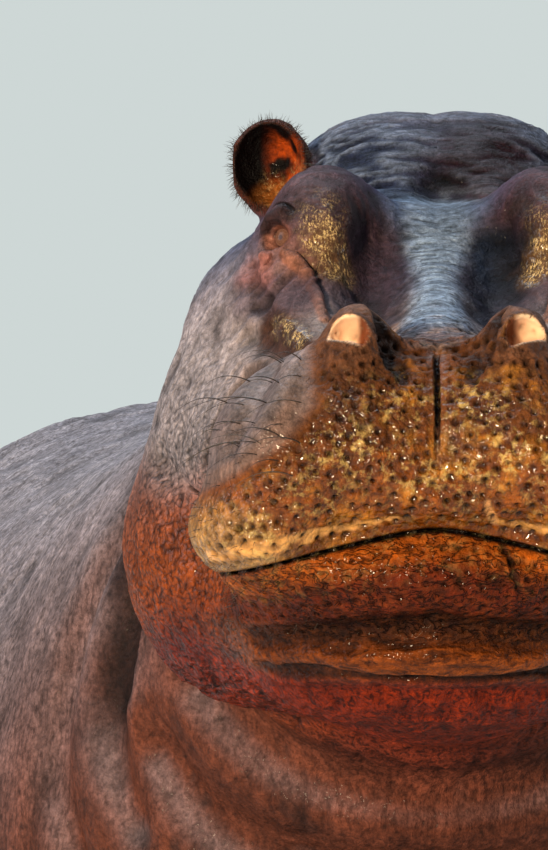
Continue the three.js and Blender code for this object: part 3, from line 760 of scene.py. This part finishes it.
# Folds, pits and the crests of the wrinkles: painted shade in the folds, creases, pits and furrows, and painted sky
# sheen on the crests.
# Painted shade in the groove down the middle of the muzzle, then in the notches, creases, pad edge and mouth line
# below.
tint(inside(Ball((0, 20, 345), (7, 90, 70)), 5) * fold_shade, (40, 20, 12))
tint(inside(V_NOTCH, 4, 2) * 0.9, (30, 17, 17))
tint(inside(UNDER_LIP, 7, 7) * (0.86 + 0.14 * freckle), (20, 9, 4))
tint(inside(CHIN_LINE, 4, 2) * 0.85, (26, 10, 5))
for crease in CREASES[3:6]:
    tint(inside(crease, 4, 2) * 0.6, (60, 42, 42))
tint(inside(PAD_EDGE, 6, 4) * 0.8, (44, 30, 28))
tint(ease(np.abs(from_lips), 0.0036, 0.0014) * ease(along, 0.42, 0.36) * ease(fold_shade, 0.1, 0.5), (26, 12, 8))
tint(rim * 0.35, (84, 44, 14))
# Painted shade in the whisker pits.
tint(pit * 0.95, (24, 12, 6))
# Painted sky sheen on the upturned crests of the dome's wrinkles and on the bridge's rows.
crown_sheen = dome * (1 - 0.7 * inside(RED_CROWN, 40))
tint(crown_sheen * ease(waves, 0.3, 0.95) * ease(normal[:, 2], 0.1, 0.6) * 0.5, (126, 138, 160))
tint(bridge * ease(rows, 0.3, 0.9) * 0.22, (168, 180, 194))
# Painted shade in the furrows of the wrinkles.
tint(plain * ease(wrinkles, 0.1, -0.5) * 0.45, (70, 54, 52))
tint(inside(SCARS[0], 1.5, 1.5), (250, 176, 108))
tint(inside(SCARS[1], 1.5, 1) * 0.9, (30, 13, 5))
# Painted shadow in the neck fold behind the jowl.
tint(inside(FOLDS[0], 26, 22) * ease(up, -0.14, -0.04) * ease(up, 0.3, 0.2) * 0.85, (34, 20, 17))

# Darker in furrows and folds as painted shade, lighter on crests as painted light, and uneven in tone.
# Painted shade in the furrows and painted light on the crests of the relief patterns.
relief_shade = np.zeros(len(co))
for mask, pattern in (
    (dome * 0.7, waves), (bridge * 0.5, rows), (chin, lines), (throat, pleats), (lip_front, plates),
    (jowl, pebbles), (pad, cobbles), (plain, wrinkles), (body, streaks), (under_eye, under_lines),
):
    relief_shade += mask * np.clip(pattern, -1, 1)
shade = 1 + (0.22 * blotch + 0.2 * freckle) * (1 - bowl)
shade *= 1 + 0.42 * (relief_shade - 0.2) * calm
# Painted shade deep in folds.
shade *= 1 - 0.72 * fold_shade * (1 - bowl) * (1 - cup)

# Painted glints (gold specks), painted sheen (glaze) and wetness.
# Painted glints on the wet patches by the eye and in the ear cup.
painted_glint = 1.3 * inside(SHEEN, 10, 4) + 0.45 * inside(Ball((124, 420, 524), (24, 50, 26)), 12)
painted_glint += inside(LOW_SHEEN, 7, 3) + 0.5 * cup * inside(Ball((168, 690, 560), (30, 40, 30)), 12)
painted_glint = np.clip(painted_glint * ease(freckle, -0.55, 0.1), 0, 1)
# Painted sheen: pale gold patches where the wet muzzle catches the key light.
painted_sheen = np.full(len(co), 0.14)
for x, z, size in ((100, 300, 34), (37, 344, 30), (62, 286, 26), (185, 208, 30), (120, 250, 26), (10, 268, 30)):
    painted_sheen += 0.6 * inside(Ball((x, 30, z), (size, 120, size * 0.8)), 20)
painted_sheen = np.clip(painted_sheen, 0, 1) * pad * pitted * (1 - pit) * (1 - bowl) * ease(up, 0.385, 0.35)
wet = muzzle * (1 - 0.9 * lip_front) * ease(up, 0.385, 0.33) * (0.2 + 0.8 * pitted) + 0.06 * lip_front
wet += 0.4 * jowl + 0.35 * (1 - calm) * (1 - lip_front) + 0.2 * chin + painted_glint
wet = np.clip(wet, 0, 1) * (1 - 0.9 * inside(V_NOTCH, 10, 10)) * (1 - 0.8 * inside(UNDER_LIP, 6, 6))

skin = make_mesh("skin", co, tris)
for name, values in (
    ("tone", np.clip(tone * shade[:, None], 0, 1)),
    ("painted_glint", painted_glint),
    ("painted_sheen", painted_sheen + 0.14 * lip_front * ease(from_lips, -0.06, -0.02)),
    ("furrow", np.clip(bridge + 0.8 * dome + chin + 0.4 * plain, 0, 1)),
    ("pleat", np.clip(throat + 0.6 * body, 0, 1)),
    ("pebble", np.clip(jowl + 0.35 * pad * pitted + 0.2, 0, 1) * calm * (1 - bowl)),
    ("crack", lip_front),
    ("bead", pad * pitted),
    ("wet", wet * (1 - 0.7 * bowl) * (1 - 0.6 * cup)),
    ("even", np.clip(bowl + 0.6 * inside(PALE_BAND, 3, 1) * (1 - pit), 0, 1)),
):
    give(skin, name, values)
FLESH = [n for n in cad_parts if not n.startswith(("eye_", "forenail", "hindnail"))]
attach(skin, "root")
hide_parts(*FLESH)


class Nodes:
    """Short ways to build a material's nodes."""

    def __init__(self, name):
        self.material = bpy.data.materials.new(name)
        self.material.use_nodes = True
        self.tree = self.material.node_tree
        self.shader = self.tree.nodes["Principled BSDF"]
        self.place = self.add("TexCoord").outputs["Object"]

    def add(self, kind, settings=(), *first, **inputs):
        node = self.tree.nodes.new("ShaderNode" + kind)
        for key, value in dict(settings).items():
            setattr(node, key, value)
        for key, value in enumerate(first):
            self.set(node, key, value)
        return self.fill(node, inputs)

    def fill(self, node, inputs):
        for key, value in inputs.items():
            self.set(node, key.replace("_", " "), value)
        return node

    def surface(self, **inputs):
        self.fill(self.shader, inputs)

    def set(self, node, key, value):
        if isinstance(value, bpy.types.NodeSocket):
            self.tree.links.new(value, node.inputs[key])
        else:
            node.inputs[key].default_value = value

    def math(self, operation, a, b=0.5):
        return self.add("Math", {"operation": operation}, a, b).outputs[0]

    def times(self, first, *others):
        for other in others:
            first = self.math("MULTIPLY", first, other)
        return first

    def read(self, name, output="Fac"):
        return self.add("Attribute", {"attribute_name": name}).outputs[output]

    def scaled(self, x, y, z, vector=None):
        return self.add("Mapping", Vector=vector or self.place, Scale=(x, y, z)).outputs[0]

    def noise(self, scale, detail=2.0, vector=None, roughness=0.5, distortion=0.0):
        node = self.add("TexNoise", Vector=vector or self.place, Scale=scale, Detail=detail,
                        Roughness=roughness, Distortion=distortion)
        return node.outputs["Fac"]

    def cells(self, feature, vector):
        return self.add("TexVoronoi", {"feature": feature}, Vector=vector, Scale=1.0).outputs["Distance"]

    def span(self, value, low, high, to_low=0.0, to_high=1.0):
        node = self.add("MapRange", {"clamp": True}, Value=value, From_Min=low, From_Max=high,
                        To_Min=to_low, To_Max=to_high)
        return node.outputs[0]

    def mix(self, factor, a, b, blend="MIX"):
        node = self.add("Mix", {"data_type": "RGBA", "blend_type": blend})
        for key, value in ((0, factor), (6, a), (7, b)):
            self.set(node, key, value)
        return node.outputs[2]

    def bump(self, height):
        return self.add("Bump", Height=height, Distance=1.0, Strength=1.0).outputs[0]


def skin_material():
    n = Nodes("hippo_skin")
    waver = n.add("TexNoise", Vector=n.place, Scale=45.0, Detail=2.0).outputs["Color"]
    bent = n.add("VectorMath", {"operation": "MULTIPLY_ADD"}, waver, (0.014, 0.014, 0.014), n.place).outputs["Vector"]
    crazed = n.cells("DISTANCE_TO_EDGE", n.scaled(190, 190, 150, bent))
    furrows = n.noise(1.0, 4, n.scaled(30, 210, 210, bent), 0.62)
    pleats = n.noise(1.0, 4, n.scaled(190, 150, 36, bent), 0.62)
    pebbles = n.cells("F1", n.scaled(170, 170, 170, bent))
    domes = n.math("SUBTRACT", 1.0, n.times(pebbles, pebbles))
    wander = n.noise(1.0, 3, n.scaled(36, 80, 90, bent), 0.6, 0.8)
    splits = n.span(n.math("ABSOLUTE", n.math("SUBTRACT", wander, 0.5)), 0.0, 0.035)
    height = n.times(n.noise(330, 4, None, 0.65), 0.002)
    for part in (
        n.times(n.span(crazed, 0.0, 0.22), 0.0003),
        n.times(furrows, 0.005, n.read("furrow")),
        n.times(pleats, 0.004, n.read("pleat")),
        n.times(domes, 0.004, n.read("pebble")),
        n.times(splits, 0.0022, n.read("crack")),
    ):
        height = n.math("ADD", height, part)
    even = n.read("even")
    n.surface(Normal=n.bump(n.times(height, n.span(even, 0.0, 1.0, 1.0, 0.15))))
    beads = n.cells("F1", n.scaled(125, 125, 125))
    film = n.times(n.times(beads, beads), n.times(n.read("bead"), -0.002))
    film = n.math("ADD", film, n.times(domes, 0.0011))
    film = n.math("ADD", film, n.times(n.noise(150, 1), 0.0009))
    mottle = n.span(n.noise(16, 5, None, 0.65), 0.3, 0.7, 0.68, 1.32)
    speck = n.span(n.noise(120, 4, None, 0.65), 0.3, 0.7, 0.5, 1.52)
    # Uneven tone, and painted shade along the crazed lines that the bump cuts.
    shade = n.times(mottle, speck, n.span(crazed, 0.0, 0.15, 0.84, 1.0))
    # Painted shade in the cracks, furrows, pleats and gaps between pebbles that the bump also cuts.
    for dark, mask, least in (
        (n.math("SUBTRACT", 1.0, splits), "crack", 0.34),
        (n.span(furrows, 0.52, 0.38), "furrow", 0.36),
        (n.span(pleats, 0.52, 0.4), "pleat", 0.26),
        (n.span(pebbles, 0.4, 0.85), "pebble", 0.34),
    ):
        shade = n.times(shade, n.span(n.times(dark, n.read(mask)), 0.0, 1.0, 1.0, least))
    colour = n.mix(1.0, n.read("tone", "Color"), n.mix(even, shade, (1, 1, 1, 1)), "MULTIPLY")
    # Painted glints and painted sheen: pale gold specks and patches mixed into the base colour where the wet skin
    # catches the key light.
    spark = n.span(n.noise(1.0, 5, n.scaled(420, 420, 170), 0.85), 0.5, 0.6)
    spark = n.times(spark, n.span(n.noise(90, 3), 0.38, 0.58), n.read("painted_glint"))
    shine = n.times(n.span(n.noise(80, 5, None, 0.7), 0.5, 0.71), n.read("painted_sheen"))
    colour = n.mix(spark, colour, (0.95, 0.68, 0.3, 1))
    wet = n.read("wet")
    dull = n.span(n.noise(60, 4), 0.3, 0.7, 0.44, 0.6)
    n.surface(
        Base_Color=n.mix(shine, colour, (0.95, 0.66, 0.21, 1)),
        Roughness=n.math("SUBTRACT", dull, n.times(wet, 0.26)),
        Specular_IOR_Level=0.1,
        Coat_Weight=n.span(wet, 0.0, 1.0, 0.02, 0.62),
        Coat_Roughness=0.09,
        Coat_Normal=n.bump(film),
    )
    return n.material


skin.data.materials.append(skin_material())


def round_piece(name, at, size, matrix, rows, columns, shape=None):
    """A closed rounded mesh, set on the animal in chin millimetres."""
    ring = [(pi * r / rows, 2 * pi * c / columns) for r in range(1, rows) for c in range(columns)]
    unit_ball = np.array([(0, 0, 1), *[(sin(a) * cos(b), sin(a) * sin(b), cos(a)) for a, b in ring], (0, 0, -1)])
    last = len(unit_ball) - 1
    faces = []

    def spot(r, c):
        return 1 + (r - 1) * columns + c % columns

    for c in range(columns):
        faces.append((0, spot(1, c), spot(1, c + 1)))
        for r in range(1, rows - 1):
            faces.append((spot(r, c), spot(r + 1, c), spot(r + 1, c + 1)))
            faces.append((spot(r, c), spot(r + 1, c + 1), spot(r, c + 1)))
        faces.append((last, spot(rows - 1, c + 1), spot(rows - 1, c)))
    if shape:
        unit_ball = shape(unit_ball)
    return make_mesh(name, (unit_ball * np.array(size) / 1000) @ matrix.T + np.array(at) / 1000, np.array(faces))


def eye_material(pupil):
    n = Nodes("eyeball")
    away = n.add("VectorMath", {"operation": "DISTANCE"}, n.place, tuple(pupil)).outputs["Value"]
    streaks = n.noise(1.0, 3, n.scaled(500, 500, 900), 0.6)
    iris = n.mix(n.span(streaks, 0.3, 0.7), (0.085, 0.036, 0.022, 1), (0.18, 0.085, 0.055, 1))
    white = n.mix(n.span(n.noise(260, 3), 0.3, 0.7), (0.15, 0.08, 0.062, 1), (0.26, 0.16, 0.13, 1))
    colour = n.mix(n.span(away, 0.0085, 0.0105), iris, white)
    colour = n.mix(n.span(away, 0.002, 0.0034), (0.05, 0.02, 0.015, 1), colour)
    n.surface(Base_Color=colour, Roughness=0.24, Specular_IOR_Level=0.12, Coat_Weight=0.14, Coat_Roughness=0.03)
    return n.material


SIDES = (("left", 1), ("right", -1))
for side, sign in SIDES:
    at = np.array((sway(EYE[1]) + sign * EYE[0], EYE[1], EYE[2]))
    gaze = LOOK * (sign, 1, 1)
    piece = round_piece("eyeball_" + side, at * 1000, [EYE_RADIUS * 1000] * 3, np.eye(3), 36, 48)
    piece.data.materials.append(eye_material(at + SHIFT + gaze * EYE_RADIUS))
    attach(piece, "root")
    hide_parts("eye_" + side)


def hoof(ball):
    """Flattens a ball into a blunt nail, ridged from top to bottom."""
    out = ball.copy()
    rise = ball[:, 2]
    out[:, :2] *= (1 + 0.018 * np.sin(np.arctan2(ball[:, 0], -ball[:, 1]) * 22))[:, None]
    out[:, :2] *= ((1 + 0.16 * ease(rise, 0.4, -0.6)) * (1 - 0.1 * ease(rise, 0, 1)))[:, None]
    out[:, 2] = np.where(rise < 0, rise * 0.92, rise)
    return out


def nail_material():
    n = Nodes("hoof_nail")
    ridges = n.noise(1.0, 3, n.scaled(420, 420, 40), 0.6)
    n.surface(
        Base_Color=n.mix(n.span(ridges, 0.3, 0.7), (0.03, 0.022, 0.02, 1), (0.085, 0.062, 0.05, 1)),
        Roughness=n.span(n.noise(60, 3), 0.3, 0.7, 0.38, 0.62),
        Normal=n.bump(n.times(ridges, 0.0008)),
    )
    return n.material


NAIL = nail_material()
for side, sign in SIDES:
    for end in FEET:
        for number, (turn, _) in enumerate(TOES, 1):
            node = f"{end}nail_{side}_{number}"
            lowest, highest = (np.array(v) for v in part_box(node))
            middle = ((lowest + highest) / 2 - SHIFT) * 1000
            piece = round_piece("hoof_" + node, middle, (18.5, 14.5, 19.5), turned(0, 0, turn * sign), 20, 44, hoof)
            piece.data.materials.append(NAIL)
            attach(piece, "root")
            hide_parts(node)


def hair_material():
    n = Nodes("bristle")
    streaks = n.span(n.noise(1.0, 3, n.scaled(400, 400, 160), 0.6), 0.3, 0.7)
    n.surface(Base_Color=n.mix(streaks, (0.01, 0.007, 0.006, 1), (0.06, 0.036, 0.022, 1)), Roughness=0.42)
    return n.material


def make_hairs(name, mask, spacing, limit, lean, jitter, shortest, longest, radius, droop, segments):
    """Tapered hairs as one mesh: at most limit of them, along their lean, sagging by droop times the length."""
    chosen = np.flatnonzero(mask)
    _, keep = np.unique(np.floor(co[chosen] / spacing).astype(int), axis=0, return_index=True)
    chosen = chosen[rng.permutation(keep)][:limit]
    roots, count, sides = co[chosen], len(chosen), 4
    ways = unit(lean[chosen] + rng.normal(0, jitter, (count, 3)))
    lengths = rng.uniform(shortest, longest, count)
    t = np.linspace(0, 1, segments + 1)[None, :, None]
    curl = rng.normal(0, 0.1, (count, 1, 3))
    pull = (np.array((0, 0, -1.0)) * droop + curl) * t**2
    line = roots[:, None] + lengths[:, None, None] * (ways[:, None] * (t - 0.02) + pull)
    sideways = unit(np.cross(ways, (0.13, 0.21, 0.97)))
    other = np.cross(ways, sideways)
    turns = np.arange(sides) * 2 * pi / sides
    ring = np.cos(turns)[:, None, None] * sideways + np.sin(turns)[:, None, None] * other
    thick = (radius * rng.uniform(0.75, 1.2, count))[:, None] * (1 - t[0, :, 0] ** 1.5 * 0.88)
    points = line[:, :, None] + ring.transpose(1, 0, 2)[:, None] * thick[:, :, None, None]
    index = np.arange(count * (segments + 1) * sides).reshape(count, segments + 1, sides)
    a, b = index[:, :-1], index[:, 1:]
    c, d = np.roll(b, -1, 2), np.roll(a, -1, 2)
    faces = [np.stack([a, d, c], -1).reshape(-1, 3), np.stack([a, c, b], -1).reshape(-1, 3)]
    for end, order in ((index[:, 0], 1), (index[:, -1], -1)):
        for k in range(1, sides - 1):
            faces.append(np.stack([end[:, 0], end[:, k + 1], end[:, k]][::order], -1))
    piece = make_mesh(name, points.reshape(-1, 3), np.concatenate(faces))
    lay_patches(piece, roots, segments, sides)
    piece.data.materials.append(HAIR)
    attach(piece, "root")


def lay_patches(piece, roots, segments, sides):
    """Gives each hair a small patch where its root lies on the skin, unrolled round the body."""
    patch = 0.003
    angle = np.arctan2(roots[:, 0] - sway(roots[:, 1]), 0.1 - roots[:, 2]) / (2 * pi) + 0.5
    centre = np.stack([angle, (roots[:, 1] + 0.05) / 3.6], 1) * (1 - patch) + patch / 2
    u = np.broadcast_to((np.arange(sides) / (sides - 1) - 0.5)[None, None, :], (len(roots), segments + 1, sides))
    v = np.broadcast_to((np.arange(segments + 1) / segments - 0.5)[None, :, None], u.shape)
    uv = centre[:, None, None] + np.stack([u, v], -1) * patch
    corners = np.zeros(len(piece.data.loops), np.int32)
    piece.data.loops.foreach_get("vertex_index", corners)
    layer = piece.data.uv_layers.new(name="OFBake")
    layer.data.foreach_set("uv", uv.reshape(-1, 2)[corners].astype(np.float32).ravel())


def unit(v):
    return v / norm(v, axis=1, keepdims=True)


HAIR = hair_material()
normal = normals_of(co, tris)
side_sign = np.sign(flat[:, :1])
outward = side_sign * np.array((1.0, 0, 0))
side_pad = (across > 0.125) & (across < 0.215) & (up > 0.265) & (up < 0.385) & (along < 0.16) & (normal[:, 1] < 0.3)
edge_pad = (across > 0.15) & (along < 0.3) & (up > 0.13) & (up < 0.32) & (normal[:, 1] < 0.5)
edge_pad |= (lip_front > 0.5) & (across > 0.12)
tail_end = (along > 3.3) & (up < -0.24) & (up > -0.4) & (across < 0.05)
rim_distance = np.full(len(co), 1.0)
near = np.flatnonzero((np.abs(folded - EAR_CUP.at) < 0.075).all(1))
rim_distance[near] = EAR_CUP.distance(folded[near])
ear_rim = (rim_distance > 0.0008) & (rim_distance < 0.0075) & (along < 0.716) & (up > 0.52)
centre = np.array((0.187, 0.705, 0.578)) * np.c_[side_sign, np.ones((len(co), 2))]
centre[:, 0] += sway(centre[:, 1])
lean = normal * 0.4 + outward * 1.0 + (0, 0.0, 0.45)
make_hairs("muzzle_whiskers", side_pad, 0.02, 44, lean, 0.2, 0.045, 0.11, 0.00062, 0.75, 14)
lean = normal + outward * 0.4
make_hairs("lip_bristles", edge_pad, 0.011, 420, lean, 0.22, 0.006, 0.015, 0.00032, 0.25, 5)
lean = unit(co - centre) + (0, -0.3, 0)
make_hairs("ear_hairs", ear_rim, 0.0034, 900, lean, 0.28, 0.004, 0.013, 0.0003, 0.1, 5)
lean = normal * (0.3, 0.55, 0.3) + (0, 0.1, -1)
make_hairs("tail_bristles", tail_end, 0.0042, 420, lean, 0.12, 0.05, 0.12, 0.0006, 0.25, 8)


# Floor, light and camera.
PALE = (0.617, 0.68, 0.672, 1)


def floor():
    """A pale disc that melts into the background towards its edge."""
    n = Nodes("pale_floor")
    n.surface(Base_Color=(0.74, 0.77, 0.76, 1), Roughness=0.9)
    away = n.add("VectorMath", {"operation": "LENGTH"}, n.place).outputs["Value"]
    glow = n.add("Emission", Color=PALE, Strength=1.0).outputs[0]
    both = n.add("MixShader", (), n.span(away, 2.2, 7.5, 0.3, 1.0), n.shader.outputs[0], glow)
    n.set(n.tree.nodes["Material Output"], "Surface", both.outputs[0])
    turns = np.arange(96) * 2 * pi / 96
    mesh = bpy.data.meshes.new("floor")
    mesh.from_pydata([(8 * cos(a), 8 * sin(a), 0) for a in turns], [], [range(96)])
    mesh.materials.append(n.material)
    piece = placed("floor", mesh)


def studio():
    """Dim sky light all round, with a plain pale background."""
    world = bpy.data.worlds.new("studio")
    world.use_nodes = True
    nodes, links = world.node_tree.nodes, world.node_tree.links
    dim = nodes["Background"]
    dim.inputs["Color"].default_value = (0.8, 0.87, 0.92, 1)
    dim.inputs["Strength"].default_value = 0.16
    behind = nodes.new("ShaderNodeBackground")
    behind.inputs["Color"].default_value = PALE
    both = nodes.new("ShaderNodeMixShader")
    links.new(nodes.new("ShaderNodeLightPath").outputs["Is Camera Ray"], both.inputs[0])
    links.new(dim.outputs[0], both.inputs[1])
    links.new(behind.outputs[0], both.inputs[2])
    links.new(both.outputs[0], nodes["World Output"].inputs["Surface"])
    scene.world = world


floor()
studio()
scene.view_settings.view_transform = "Standard"


def softbox(name, at, size, power, colour, target=(0, 0.35, 0.3)):
    light = bpy.data.lights.new(name, "AREA")
    light.size, light.energy, light.color = size, power, colour
    lamp = placed(name, light)
    lamp.location = Vector(at) + Vector(SHIFT)
    lamp.rotation_euler = (Vector(target) + Vector(SHIFT) - lamp.location).to_track_quat("-Z", "Y").to_euler()


sun = bpy.data.lights.new("key", "SUN")
sun.energy, sun.angle, sun.color = 4.4, radians(7.0), (1.0, 0.77, 0.5)
placed("key", sun).rotation_euler = Vector((2.7, 5.05, -0.85)).to_track_quat("-Z", "Y").to_euler()
softbox("sky", (-0.6, 2.4, 4.4), 3.6, 160, (0.76, 0.88, 1.0))
softbox("side", (-5.0, 0.2, 1.6), 2.6, 70, (0.86, 0.92, 1.0))
softbox("fill", (4.8, 2.6, 1.3), 3.0, 110, (0.95, 0.95, 1.0), (0, 1.6, -0.3))

# The camera looks along +y. Its aim is where +y meets the picture, in pixels from the top left.
FOCAL = 6972.0
WIDTH, HEIGHT = 548, 850
AIM = (437.0, 130.0)
yaw, pitch = atan((AIM[0] - WIDTH / 2) / FOCAL), atan((HEIGHT / 2 - AIM[1]) / FOCAL)
camera = bpy.data.cameras.new("camera")
camera.sensor_width = 36
camera.lens = 36 * FOCAL / HEIGHT
camera.clip_end = 100
scene.camera = placed("camera", camera)
scene.camera.location = Vector((0, -7.0, 0.617)) + Vector(SHIFT)
gaze = Vector((-sin(yaw) * cos(pitch), cos(yaw) * cos(pitch), -sin(pitch)))
scene.camera.rotation_euler = gaze.to_track_quat("-Z", "Y").to_euler()
